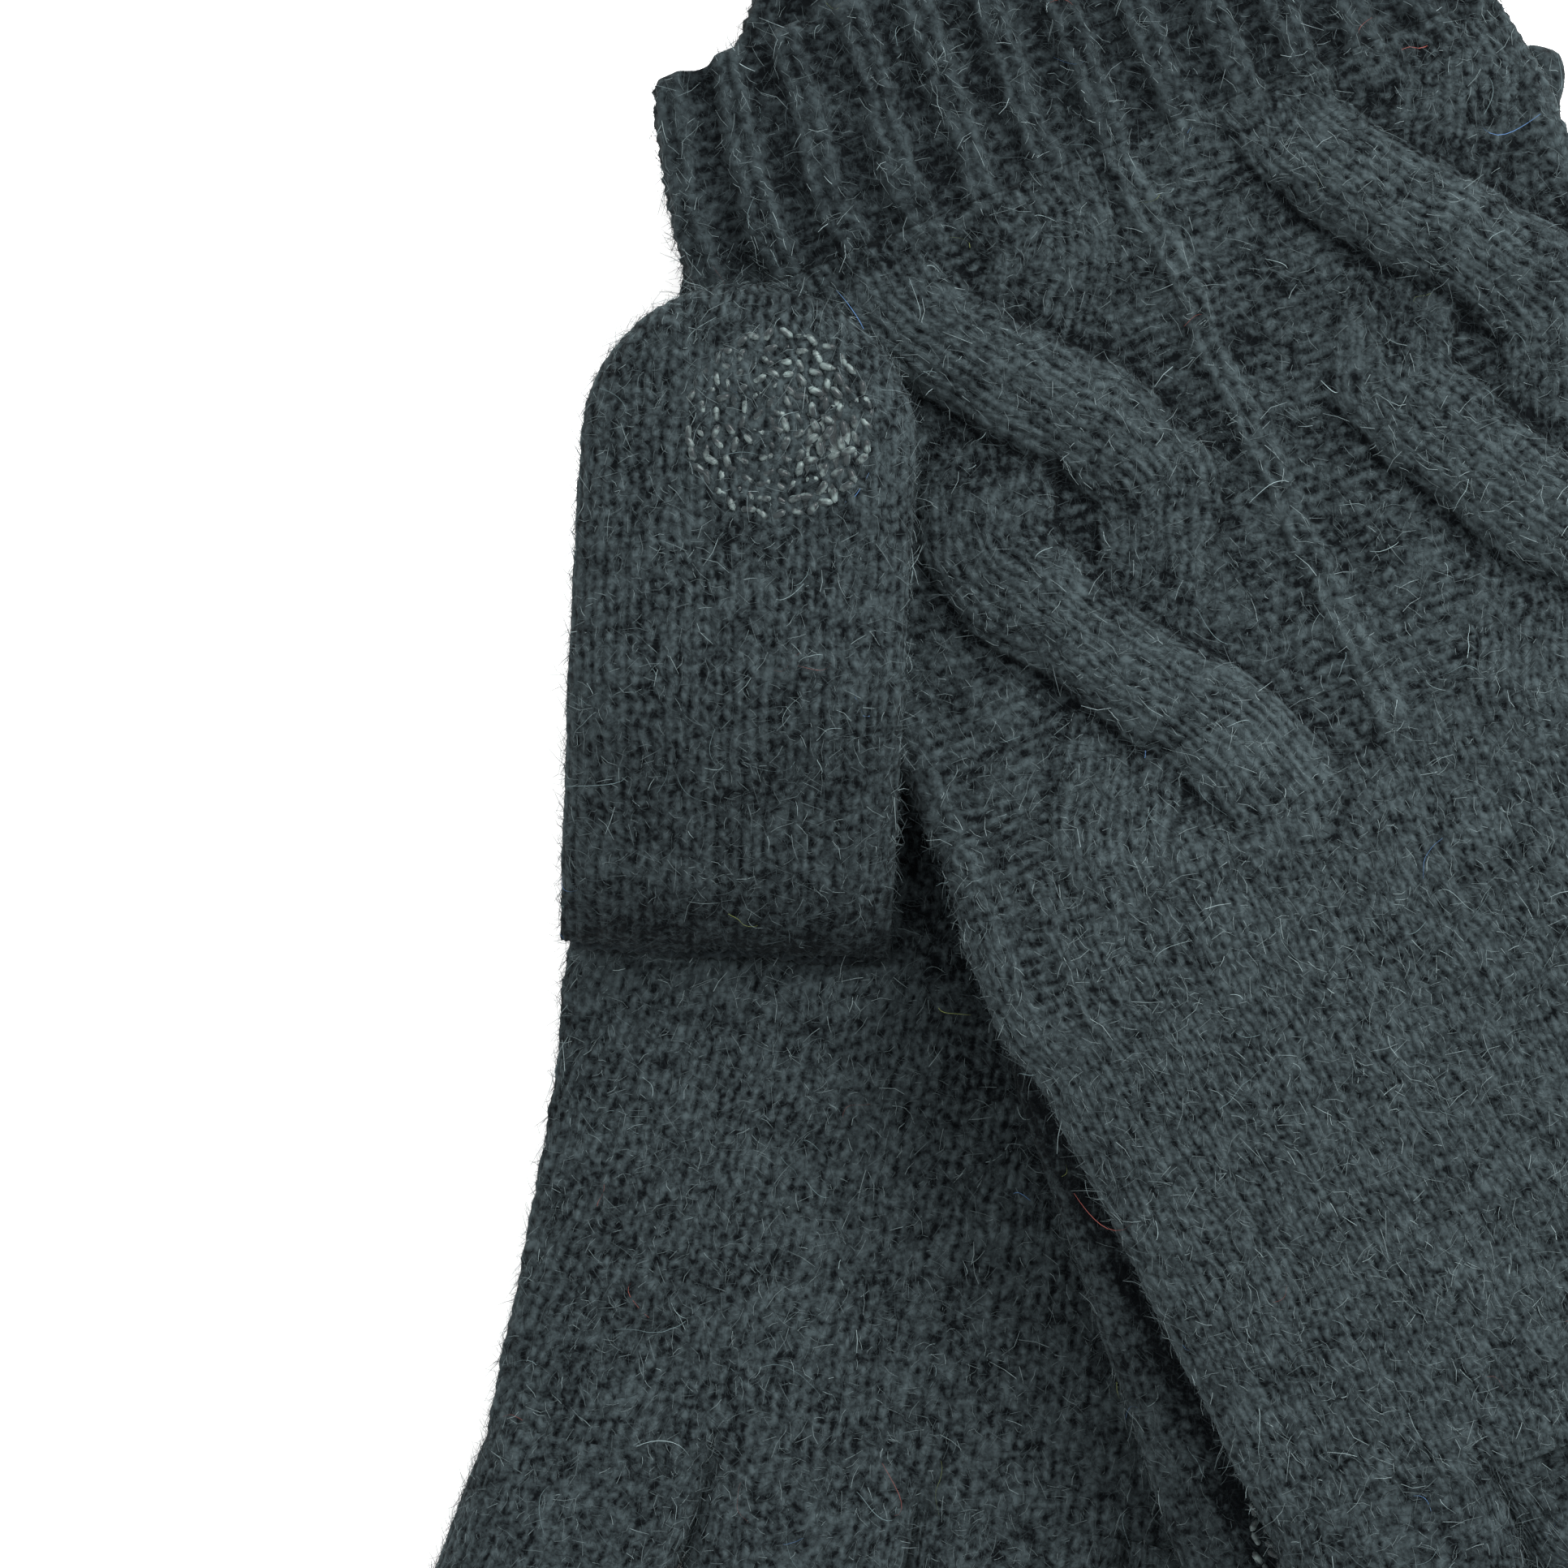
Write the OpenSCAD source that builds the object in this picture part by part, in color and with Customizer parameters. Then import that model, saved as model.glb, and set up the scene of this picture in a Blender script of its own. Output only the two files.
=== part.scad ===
// A pair of knitted touchscreen gloves lying crossed: the right glove below with its palm up
// and its thumb turned back over the cuffs, the left glove on top with its back up.
// Millimetres, +Z up. Each glove is drawn in its own frame (fingers along +Y, thumb side
// at +X) and then laid down by lay_right or lay_left.

/* [Cuff and hand] */
// Half of the flat width at the open end of the cuff
cuff_end_half = 37.5; // [28:0.5:50]
// Half of the flat width of the wrist and the hand
hand_half = 40; // [30:0.5:52]
// Length of the ribbed edge
rib_len = 21; // [10:1:40]
// Distance from the open end to the last cable crossing
cable_end = 75; // [50:1:90]
// Distance from the open end to the thumb seam
thumb_at = 98.6; // [85:0.2:115]
// Distance from the open end to the finger roots
roots_at = 146.6; // [125:0.2:170]
// Thickness of the flattened cuff and hand
hand_thick = 10.4; // [8:0.2:16]
// Thickness of the knitted wall
wall = 1.9; // [1.2:0.1:2.4]

/* [Fingers] */
// Flat width of the index finger
index_w = 22; // [16:0.5:26]
// Flat width of the middle finger
middle_w = 19.5; // [16:0.5:26]
// Flat width of the ring finger
ring_w = 19.5; // [16:0.5:26]
// Flat width of the little finger
little_w = 17.5; // [14:0.5:24]
// Length of the index finger
index_len = 70; // [55:1:85]
// Length of the middle finger
middle_len = 76; // [60:1:92]
// Length of the ring finger
ring_len = 71; // [55:1:86]
// Length of the little finger
little_len = 56; // [45:1:72]
// Thickness of a flattened finger
finger_thick = 10.8; // [8:0.2:16]

/* [Thumb] */
// Flat width of the thumb
thumb_w = 30.4; // [24:0.2:36]
// Length of the thumb from its seam
thumb_len = 61; // [50:1:72]
// Thickness of the flattened thumb
thumb_thick = 9; // [8.8:0.1:12]

/* [Touch caps] */
// Diameter of the conductive cap on the thumb
thumb_cap_d = 18.8; // [12:0.2:22]
// Diameter of the conductive cap on the index finger
index_cap_d = 14; // [10:0.2:16]
// Thickness of a conductive cap
cap_thick = 0.6; // [0.4:0.1:1]

/* [Lie of the pair] */
// Turn of the right glove about Z
right_turn = 169.6; // [160:0.2:180]
// Turn of the left glove about Z
left_turn = 202; // [190:0.5:215]
// Height of the underside of the left cuff
stack_z = 11.2; // [11:0.1:20]
// Extra height of the left hand where it lies on its own thumb
hand_lift = 9.5; // [9:0.1:16]

/* [Hidden] */

sides = 24;
squareness = 2.6;
piece_gap = 0.1;
root_gap = 0.5;
finger_gap = 0.5;
pair_shift = [-46.55, 25.4, 0];
right_origin = [36.4, 74.9, 0];
left_origin = [22.5, 78.3, 0];
wool = [0.24, 0.29, 0.30];
silver_yarn = [0.45, 0.5, 0.5];
thread = [0.15, 0.18, 0.19];

right_mid = hand_thick / 2;
left_mid = stack_z + hand_thick / 2;
left_hand_mid = left_mid + hand_lift;
table_mid = finger_thick / 2;
index_u = hand_half - index_w / 2;
middle_u = index_u - index_w / 2 - finger_gap - middle_w / 2;
ring_u = middle_u - middle_w / 2 - finger_gap - ring_w / 2;
little_u = ring_u - ring_w / 2 - finger_gap - little_w / 2;
left_bend = -4;

function smooth(t) = let (c = min(max(t, 0), 1)) c * c * (3 - 2 * c);
function curve(c) = sign(c) * pow(abs(c), 2 / squareness);
flat_share = curve(cos(180 / sides));

// One flattened ring. A station is [along, across, height, half width, half thickness].
function ring_points(s, inset) = [
    for (i = [0 : sides - 1])
    let (a = (i + 0.5) * 360 / sides)
    [s[1] + (s[3] - inset) * curve(cos(a)), s[0], s[2] + (s[4] - inset) * curve(sin(a)) / flat_share]];

// Triangles between ring `a` and ring `b`, which face outward when `flip` is false.
function band(a, b, flip) = [
    for (i = [0 : sides - 1])
    let (j = (i + 1) % sides, p = a * sides, q = b * sides)
    each flip ? [[p + i, q + j, q + i], [p + i, p + j, q + j]]
              : [[p + i, q + i, q + j], [p + i, q + j, p + j]]];

// A knitted tube, open at both ends.
module sleeve(stations) {
    n = len(stations);
    points = [for (s = stations) each ring_points(s, 0),
              for (s = stations) each ring_points(s, wall)];
    outside = [for (k = [0 : n - 2]) each band(k, k + 1, false)];
    inside = [for (k = [0 : n - 2]) each band(n + k, n + k + 1, true)];
    polyhedron(points, concat(outside, inside, band(0, n, true), band(n - 1, 2 * n - 1, false)));
}

// A knitted tube, open at its root and closed at its tip.
module closed_tube(stations) {
    n = len(stations);
    root = stations[0][0];
    reach = stations[n - 1][0] - root;
    inner = [for (s = stations) [root + (s[0] - root) * (reach - wall) / reach, s[1], s[2], s[3], s[4]]];
    points = [for (s = stations) each ring_points(s, 0),
              for (s = inner) each ring_points(s, wall)];
    outside = [for (k = [0 : n - 2]) each band(k, k + 1, false)];
    inside = [for (k = [0 : n - 2]) each band(n + k, n + k + 1, true)];
    outer_tip = [for (i = [sides - 1 : -1 : 0]) (n - 1) * sides + i];
    inner_tip = [for (i = [0 : sides - 1]) (2 * n - 1) * sides + i];
    polyhedron(points, concat(outside, inside, band(0, n, true), [outer_tip, inner_tip]));
}

// Centre height and sideways offset of a hand, `v` from its open end. `lift` is 0 or 1.
function hand_mid(v, lift) =
    lift == 0 ? right_mid : left_mid + hand_lift * smooth((v - 58) / (97 - 58));
function hand_side(v, lift) = lift == 0 ? 0 : left_bend * smooth((v - 88) / (roots_at - 88));
function hand_width(v) = cuff_end_half + (hand_half - cuff_end_half) * smooth(v / 16);
function hand_station(v, lift) =
    [v, hand_side(v, lift), hand_mid(v, lift), hand_width(v), hand_thick / 2];

module hand_part(from, to, steps, lift) {
    sleeve([for (k = [0 : steps]) hand_station(from + (to - from) * k / steps, lift)]);
}

// Share of the full width and thickness at a share `t` of a finger's length.
function tip_round(t, len, half) =
    let (left = (1 - t) * len) left > half ? 1 : sqrt(max(1 - pow(1 - left / half, 2), 0.1));

// A finger that leans sideways by `splay`. It stays at height `root_mid` for a share `level`
// of its length and then slopes to height `tip_mid`.
module digit(len, width, thick, splay, root_mid, tip_mid, level = 0) {
    shares = [0, 0.15, 0.3, 0.45, 0.6, 0.72, 0.82, 0.89, 0.94, 0.975, 1];
    closed_tube([
        for (t = shares)
        let (r = tip_round(t, len, width / 2), drop = max(t - level, 0) / (1 - level))
        [t * len * cos(splay), t * len * sin(splay), root_mid + (tip_mid - root_mid) * drop,
         r * width / 2, thick / 2 * (0.62 + 0.38 * r)]]);
}

module finger(u, splay, len, width, root_mid, tip_mid, level = 0) {
    translate([u, roots_at + root_gap, 0])
        digit(len, width, finger_thick, splay, root_mid, tip_mid, level);
}

module cap_disc(d) {
    cylinder(d = d, h = cap_thick, $fn = 48);
}

module lay_right() {
    translate(pair_shift + right_origin) rotate([0, 0, right_turn]) children();
}

module lay_left() {
    translate(pair_shift + left_origin) rotate([0, 0, left_turn]) children();
}

// ---- right glove: palm up, underneath ----
right_thumb_turn = 187.6;
right_thumb_u = 25;
right_thumb_at = thumb_at - 2.4;
right_thumb_low = hand_thick + 0.5 + thumb_thick / 2;
right_thumb_high = stack_z + hand_thick + 0.5 + thumb_thick / 2;

module at_right_thumb() {
    translate([right_thumb_u, right_thumb_at, 0]) rotate([0, 0, right_thumb_turn]) children();
}

module right_rib_edge() { color(wool) lay_right() hand_part(0, rib_len, 4, 0); }
module right_wrist() { color(wool) lay_right() hand_part(rib_len + piece_gap, cable_end, 4, 0); }
module right_hand() { color(wool) lay_right() hand_part(cable_end + piece_gap, roots_at, 4, 0); }

module right_thumb() {
    shares = [0, 0.1, 0.2, 0.3, 0.4, 0.5, 0.65, 0.8, 0.88, 0.94, 0.975, 1];
    color(wool) lay_right() at_right_thumb() closed_tube([
        for (t = shares)
        let (r = tip_round(t, thumb_len, thumb_w / 2))
        [t * thumb_len, 0,
         right_thumb_low + (right_thumb_high - right_thumb_low) * smooth(t / 0.45),
         r * thumb_w / 2, thumb_thick / 2 * (0.62 + 0.38 * r)]]);
}

module right_thumb_cap() {
    color(silver_yarn) lay_right() at_right_thumb()
        translate([2.7, thumb_len - 12.8, right_thumb_high + thumb_thick / 2 + piece_gap])
        cap_disc(thumb_cap_d);
}

module right_thumb_seam() {
    color(thread) lay_right()
        translate([right_thumb_u, right_thumb_at + 1.7, hand_thick + 0.1])
        rotate([0, 0, right_thumb_turn])
        rotate([0, 90, 0])
        translate([-0.8, 0, -thumb_w / 2 + 1])
        cylinder(d = 1.4, h = thumb_w - 2, $fn = 16);
}

module right_index() {
    color(wool) lay_right() finger(index_u, 10, index_len, index_w, table_mid, table_mid);
}
module right_index_cap() {
    color(silver_yarn) lay_right()
        translate([index_u, roots_at + root_gap, finger_thick + piece_gap])
        translate((index_len - 11) * [sin(10), cos(10), 0]) cap_disc(index_cap_d);
}
module right_middle() {
    color(wool) lay_right() finger(middle_u, 3, middle_len, middle_w, table_mid, table_mid);
}
module right_ring() {
    color(wool) lay_right() finger(ring_u, -1, ring_len, ring_w, table_mid, table_mid);
}
module right_little() {
    color(wool) lay_right() finger(little_u, -6, little_len, little_w, table_mid, table_mid);
}

// ---- left glove: back up, on top, its fingers drooping to the table ----
left_thumb_u = 25.4;
left_thumb_splay = 3;
// The thumb lies a little lower than the cuff, clear of the index finger above its tip.
left_thumb_drop = 0.3;
left_thumb_mid = stack_z - left_thumb_drop + thumb_thick / 2;

module left_rib_edge() { color(wool) lay_left() hand_part(0, rib_len, 4, 1); }
module left_wrist() { color(wool) lay_left() hand_part(rib_len + piece_gap, cable_end, 8, 1); }
module left_hand() { color(wool) lay_left() hand_part(cable_end + piece_gap, roots_at, 8, 1); }

module left_thumb() {
    color(wool) lay_left() translate([left_thumb_u, thumb_at, 0])
        digit(thumb_len, thumb_w, thumb_thick, left_thumb_splay, left_thumb_mid, left_thumb_mid);
}

module left_thumb_cap() {
    color(silver_yarn) lay_left()
        translate([left_thumb_u, thumb_at, left_thumb_mid + thumb_thick / 2 + piece_gap / 2])
        translate((thumb_len - 12.8) * [sin(left_thumb_splay), cos(left_thumb_splay), 0])
        cylinder(d = thumb_cap_d, h = cap_thick / 2, $fn = 48);
}

module left_thumb_seam() {
    color(thread) lay_left()
        translate([left_thumb_u, thumb_at - 1.2, left_thumb_mid])
        rotate([0, 90, 0])
        translate([0, 0, -thumb_w / 2 + 1])
        cylinder(d = 1.4, h = thumb_w - 2, $fn = 16);
}

// The left index finger lies level on the thumb's tip before it slopes down.
index_level = 0.3;
index_cap_back = 9;

module left_finger(u, splay, len, width, level = 0) {
    finger(u + left_bend, splay, len, width, left_hand_mid, table_mid, level);
}
module left_index() {
    color(wool) lay_left() left_finger(index_u, 3, index_len, index_w, index_level);
}
module left_index_cap() {
    slope = atan((left_hand_mid - table_mid) / (index_len * (1 - index_level)));
    top = finger_thick + index_cap_back * tan(slope);
    color(silver_yarn) lay_left()
        translate([index_u + left_bend, roots_at + root_gap, top + piece_gap])
        translate((index_len - index_cap_back) * [sin(3), cos(3), 0])
        rotate([-slope, 0, 0]) cap_disc(index_cap_d);
}
module left_middle() { color(wool) lay_left() left_finger(middle_u, 0, middle_len, middle_w); }
module left_ring() { color(wool) lay_left() left_finger(ring_u, -4, ring_len, ring_w); }
module left_little() { color(wool) lay_left() left_finger(little_u, -9, little_len, little_w); }

right_rib_edge();
right_wrist();
right_hand();
right_thumb_seam();
right_thumb();
right_thumb_cap();
right_index();
right_index_cap();
right_middle();
right_ring();
right_little();
left_rib_edge();
left_wrist();
left_hand();
left_thumb_seam();
left_thumb();
left_thumb_cap();
left_index();
left_index_cap();
left_middle();
left_ring();
left_little();
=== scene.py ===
"""A pair of knitted touchscreen gloves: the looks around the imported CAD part.

Lengths are in millimetres while the knitting is worked out, and in metres once a mesh is made.
Every glove is worked in its own frame (fingers along +v, thumb side at +u, w up) and then laid
on the table like the CAD glove.
"""

import math

import bpy
import numpy as np
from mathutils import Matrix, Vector


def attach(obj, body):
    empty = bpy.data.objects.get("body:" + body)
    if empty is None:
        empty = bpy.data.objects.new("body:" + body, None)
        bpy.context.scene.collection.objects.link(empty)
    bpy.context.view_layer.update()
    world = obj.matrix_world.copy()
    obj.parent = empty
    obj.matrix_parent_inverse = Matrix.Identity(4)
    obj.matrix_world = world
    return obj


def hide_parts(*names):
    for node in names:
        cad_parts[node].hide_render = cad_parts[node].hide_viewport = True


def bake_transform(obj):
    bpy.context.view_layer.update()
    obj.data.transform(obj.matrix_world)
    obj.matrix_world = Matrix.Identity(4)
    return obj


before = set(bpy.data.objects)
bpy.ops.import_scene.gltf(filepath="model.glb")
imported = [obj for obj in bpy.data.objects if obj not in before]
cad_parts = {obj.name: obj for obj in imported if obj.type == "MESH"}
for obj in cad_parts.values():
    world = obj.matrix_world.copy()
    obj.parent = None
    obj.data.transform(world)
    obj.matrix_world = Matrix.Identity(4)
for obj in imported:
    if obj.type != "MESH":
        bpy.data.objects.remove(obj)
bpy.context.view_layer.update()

# ---- sizes shared with the CAD (mm) ----
PAIR_SHIFT = np.array([-46.55, 25.4, 0.0])
RIGHT_ORIGIN = np.array([36.4, 74.9, 0.0]) + PAIR_SHIFT
LEFT_ORIGIN = np.array([22.5, 78.3, 0.0]) + PAIR_SHIFT
RIGHT_TURN = 169.6
LEFT_TURN = 202.0
CUFF_END_HALF = 37.5
HAND_HALF = 40.0
RIB_LEN = 21.0
CABLE_END = 75.0
THUMB_AT = 98.6
ROOTS_AT = 146.6
ROOT_GAP = 0.5
HAND_THICK = 10.4
FINGER_THICK = 10.8
THUMB_THICK = 9.0
THUMB_WIDTH = 30.4
THUMB_LEN = 61.0
STACK_Z = 11.2
HAND_LIFT = 9.5
LEFT_BEND = -4.0
WALL = 1.9
FINGER_GAP = 0.5
FINGERS = ("index", "middle", "ring", "little")
FINGER_WIDTH = {"index": 22.0, "middle": 19.5, "ring": 19.5, "little": 17.5}
FINGER_LEN = {"index": 70.0, "middle": 76.0, "ring": 71.0, "little": 56.0}
SPLAY = {
    "right": {"index": 10.0, "middle": 3.0, "ring": -1.0, "little": -6.0},
    "left": {"index": 3.0, "middle": 0.0, "ring": -4.0, "little": -9.0},
}
THUMB_U = {"right": 25.0, "left": 25.4}
THUMB_START = {"right": THUMB_AT - 2.4, "left": THUMB_AT}
THUMB_TURN = 187.6  # the right thumb is turned back
THUMB_SPLAY = 3.0  # the left thumb only leans
LEFT_THUMB_DROP = 0.3  # how far the left thumb lies below its cuff
LEFT_THUMB_MID = STACK_Z - LEFT_THUMB_DROP + THUMB_THICK / 2
INDEX_LEVEL = 0.3
CAP_FROM_TIP = 12.8
CAP_RADIUS = 9.4

# ---- the knitting (mm) ----
WALE = 1.8  # width of one column of stitches on the palm
BACK_WALE = 1.65  # the same on the back of the hand
THUMB_WALE = 2.2  # the same on the thumbs
COURSE = 1.25  # height of one row of stitches
RIB_PITCH = 6.4  # from one rib to the next
STITCH_DEPTH = 0.42
SQUARENESS = 2.6  # power of the squared-off round section; 2 is an ellipse
FINE = 0.33  # mesh spacing where the stitches are seen closely
PLAIN = 0.5  # mesh spacing elsewhere on top
COARSE = 0.9  # mesh spacing underneath
FUZZ_DENSITY = 6.0  # short fibres per square mm
STRAY_EVERY = 330  # short fibres for each long stray one
OUTER_SHARE = 0.2  # share of the fibres kept far from the pair's middle
FINE_REACH = 76.0  # how far from the pair's middle every fibre is kept
SPREAD = 0.0055  # how fast the palm's columns widen towards the fingers
OUTER_TRIM = {"right_index": 1.1, "left_index": 1.5}  # makes them flush with the hand's edge
ROOT_LEN = 16.0  # length over which a finger's section goes from the hand's to its own
ROOT_SQUARE = {"right": 4.5, "left": 12.0}  # squareness of the fingers where they meet
NOTCH_DEPTH = {"right": 0.45, "left": 0.1}  # share of the hand's thickness lost between roots
ROOT_DIP = 0.25  # how far the end of a hand sinks towards the finger roots
THUMB_PRESS = 0.85  # share of the cuff's relief flattened under the right thumb
BEND_ZONE = (-1.0, 11.0)  # part of a digit, from its root, whose two ends are passed to settle, which does not use them
PALM_SHADE = 9.0  # width of the painted shadow on the palm beside the left glove
PALM_DARK = 0.5  # how dark that painted shadow is
CUFF_TONE = 0.97  # tone of the left cuff, against the relief's own
HAND_PALER = 0.24  # how much paler the left hand is than its cuff
# painted shade of the inner wall, seen through the open ends
LINING_SHADE = 0.2
THUMB_SHADE = 4.0  # width of the painted shadow in the crease between the left hand and its thumb
FOLD_LEN = 8.0  # length over which the turned-back thumb rises out of its fold
CAP_RING = 1.25  # from one ring of cap stitches to the next
CAP_STITCH = 1.4  # from one cap stitch to the next, along a ring
CAP_STITCH_HALF = 0.72  # half the length of one
CAP_STITCH_RADIUS = 0.34
CAP_RISE = 0.4  # height of the cap's felt over the tube
INDEX_CAP_RADIUS = 7.0
INDEX_CAP_BACK = {"right": 11.0, "left": 9.0}  # from the fingertip to the cap's middle
THUMB_CAP_OFF = {"right": 2.7, "left": 0.0}  # sideways place of the cap's middle
SEAM_RADIUS = 0.62
SEAM_TWIST = 1.5  # length of one turn of the seam's thread
FUZZ_LEN = (0.5, 3.2)  # shortest and longest short fibre
FUZZ_WIDTH = (0.035, 0.075)
STRAY_LEN = (1.5, 7)
STRAY_WIDTH = (0.04, 0.08)

# waves of slackness in the knit, each an (amount, sideways size, lengthways size, seed)
HAND_BEND_U = ((0.35, 6, 7, 11), (0.3, 2.2, 2.2, 12))
HAND_BEND_V = ((0.3, 5, 5, 13), (0.25, 2, 2, 14))
HAND_ROUGH = ((0.12, 0.9, 0.9, 21), (0.16, 2.6, 2.6, 22))
HAND_SWELL = ((0.25, 8, 9, 23),)
DIGIT_WALES = ((0.16, 5, 6, 9), (0.16, 2, 2, 10))
DIGIT_COURSES = ((0.2, 4, 4, 13),)
DIGIT_ROUGH = ((0.12, 0.9, 0.9, 31), (0.16, 2.6, 2.6, 32))
DIGIT_SWELL = ((0.2, 7, 8, 33),)


def finger_across():
    """Sideways place of each finger's middle, thumb side first."""
    places = {}
    edge = HAND_HALF
    for name in FINGERS:
        places[name] = edge - FINGER_WIDTH[name] / 2
        edge -= FINGER_WIDTH[name] + FINGER_GAP
    return places


ACROSS = finger_across()


def lean(degrees):
    """A sideways shear that leans a finger towards +u and keeps its root square."""
    a = math.radians(degrees)
    return np.array([[1, math.sin(a), 0], [0, math.cos(a), 0], [0, 0, 1]])


def turn(degrees):
    """Rotation about Z."""
    a = math.radians(degrees)
    return np.array([[math.cos(a), -math.sin(a), 0], [math.sin(a), math.cos(a), 0], [0, 0, 1]])


LAY = {"right": (RIGHT_ORIGIN, turn(RIGHT_TURN)), "left": (LEFT_ORIGIN, turn(LEFT_TURN))}


def to_table(points, side):
    """Glove-frame millimetres to row-frame metres."""
    origin, rotation = LAY[side]
    return (np.asarray(points) @ rotation.T + origin) / 1000


def smooth(t):
    """0 below 0, 1 above 1, and an S-shaped rise between."""
    c = np.clip(t, 0, 1)
    return c * c * (3 - 2 * c)


def bell(t):
    """0 at both ends of 0..1 and 1 in the middle."""
    return np.sin(np.pi * np.clip(t, 0, 1))


def curve(c, squareness=SQUARENESS):
    """Turns a cosine or sine into a coordinate of a squared-off round section."""
    return np.sign(c) * np.abs(c) ** (2 / squareness)


def soft_noise(x, y, seed):
    """Smooth random numbers from -1 to 1 over a lattice of unit cells."""
    rng = np.random.default_rng(seed)
    table = rng.uniform(-1, 1, (64, 64))
    xi = np.floor(x).astype(int)
    yi = np.floor(y).astype(int)
    fx = smooth(x - xi)
    fy = smooth(y - yi)
    a = table[xi % 64, yi % 64]
    b = table[(xi + 1) % 64, yi % 64]
    c = table[xi % 64, (yi + 1) % 64]
    d = table[(xi + 1) % 64, (yi + 1) % 64]
    return (a * (1 - fx) + b * fx) * (1 - fy) + (c * (1 - fx) + d * fx) * fy


def slack(x, y, waves):
    """Adds up waves of soft noise."""
    total = 0
    for amount, wide, tall, seed in waves:
        total = total + amount * soft_noise(x / wide, y / tall, seed)
    return total


# ---- reliefs: height in mm above the flat fabric ----
def plain_stitches(wale, course):
    """Columns of V shapes: two leaning legs a column, with a gap between columns. 0 to 1."""
    leg = np.abs(wale - np.floor(wale) - 0.5) * 2
    ridge = np.sin(np.pi * np.clip(leg, 0, 1)) ** 0.7
    along = np.abs(np.cos(np.pi * (course - 0.85 * leg))) ** 0.6
    column = np.cos(np.pi * leg / 2) ** 2
    return ridge * (0.4 + 0.45 * along) + 0.15 * column


def purl_stitches(wale, course):
    """Rows of bumps that lie across the columns. 0 to 1."""
    row = np.floor(course)
    bump = np.sin(np.pi * (course - row)) ** 1.4
    side = 0.82 + 0.18 * np.cos(2 * np.pi * (2 * wale + 0.5 * (row % 2)))
    return bump * side


def rib_share(u):
    """1 on a rib's ridge and 0 in the ditch between two ribs."""
    c = np.cos(2 * np.pi * (u + 0.4) / RIB_PITCH)
    return smooth((c + 0.8) / 1.3)


CABLES = ((24.5, 8.0), (-16.2, -32.6))  # places of each cable's two strands
CROSSINGS = ((25.0, 51.0), (51.0, 83.0))  # where the strands change places, from the open end
STRAND_HALF = 5.6
STRAND_HIGH = 1.5
OVER_HIGH = 1.5
EDGE_RIBS = (38.0, -39.2)  # ribs that run on beside the cables
MIDDLE_RIB = -0.4


def strand(u, v, start, other, lifts):
    """Height, sideways distance and lean of one strand. lifts says over (1) or under (-1)."""
    centre = np.full_like(v, start)
    slope = np.zeros_like(v)
    lift = np.zeros_like(v)
    here, there = start, other
    for (v0, v1), sign in zip(CROSSINGS, lifts):
        t = (v - v0) / (v1 - v0)
        c = np.clip(t, 0, 1)
        inside = (t > 0) & (t < 1)
        centre = centre + (there - here) * (0.45 * c + 0.55 * smooth(t))
        slope = slope + inside * (there - here) * (0.45 + 3.3 * c * (1 - c)) / (v1 - v0)
        lift = lift + sign * bell(t)
        here, there = there, here
    tilt = np.arctan(slope)
    away = (u - centre) * np.cos(tilt)
    away = away + 0.5 * soft_noise(u / 4, v / 5, 41)
    body = np.clip(1 - (away / STRAND_HALF) ** 2, 0, 1) ** 0.6
    shown = smooth((v - 21) / 9) * (1 - smooth((v - 80) / 14))
    high = body * (STRAND_HIGH + OVER_HIGH * lift) * shown
    return np.where(body > 0, high, -1.0), away, tilt


def cuff_relief(u, v):
    """Height, wale and course over the ribbed edge, the cabled wrist and the back."""
    wale = (u + 0.4) / (RIB_PITCH / 2) + 0.5
    course = v / COURSE
    rib = rib_share(u)
    in_ribs = 1 - smooth((v - 19) / 7)
    middle = MIDDLE_RIB - 0.055 * np.clip(v - 20, 0, 65)
    kept = smooth((2.6 - np.abs(u - middle)) / 2.0)
    wale = np.where(v > 20, (u - middle) / (RIB_PITCH / 2) + 0.5, wale)
    for place in EDGE_RIBS:
        kept = np.maximum(kept, 0.6 * smooth((2.6 - np.abs(u - place)) / 2.0))
    kept = kept * (1 - smooth((v - 78) / 16))
    plain_end = smooth((v - 76) / 10)
    edge_ditch = smooth((2.4 - np.abs(u - 34.8)) / 1.2) * (1 - smooth((v - 92) / 10))
    knit_share = np.maximum(np.maximum(rib * in_ribs, kept), plain_end * (1 - edge_ditch))
    wale = np.where(plain_end > 0.4, u / BACK_WALE, wale)
    stitches = plain_stitches(wale, course) * knit_share
    stitches = stitches + 0.85 * purl_stitches(wale, course) * (1 - knit_share)
    ground = 0.9 * np.maximum(rib * in_ribs, 0.8 * kept * (1 - plain_end))
    ground = ground + plain_end * 0.9 * (1 - edge_ditch * 0.4)
    height = ground + STITCH_DEPTH * stitches
    for near, far in CABLES:
        for start, other, lifts in ((near, far, (1, -1)), (far, near, (-1, 1))):
            high, away, tilt = strand(u, v, start, other, lifts)
            w = away / (1.2 * BACK_WALE) + 0.5
            c = v / COURSE / np.maximum(np.cos(tilt), 0.5)
            level = high + STITCH_DEPTH * plain_stitches(w, c) + 0.2
            on_top = (high > 0) & (level > height)
            wale = np.where(on_top, w, wale)
            course = np.where(on_top, c, course)
            height = np.where(on_top, level, height)
    return height, wale, course


def rib_relief(u, v):
    """The plain ribbed edge, used on the palm faces."""
    wale = np.where(v < RIB_LEN, (u + 0.4) / (RIB_PITCH / 2) + 0.5, u / WALE)
    course = v / COURSE
    share = rib_share(u)
    fade = 1 - smooth((v - RIB_LEN + 1) / 5)
    knit = 1 - (1 - share) * fade
    stitches = plain_stitches(wale, course) * knit + purl_stitches(wale, course) * (1 - knit)
    return 1.1 * share * fade + 0.6 * (1 - fade) + STITCH_DEPTH * stitches, wale, course


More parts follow.
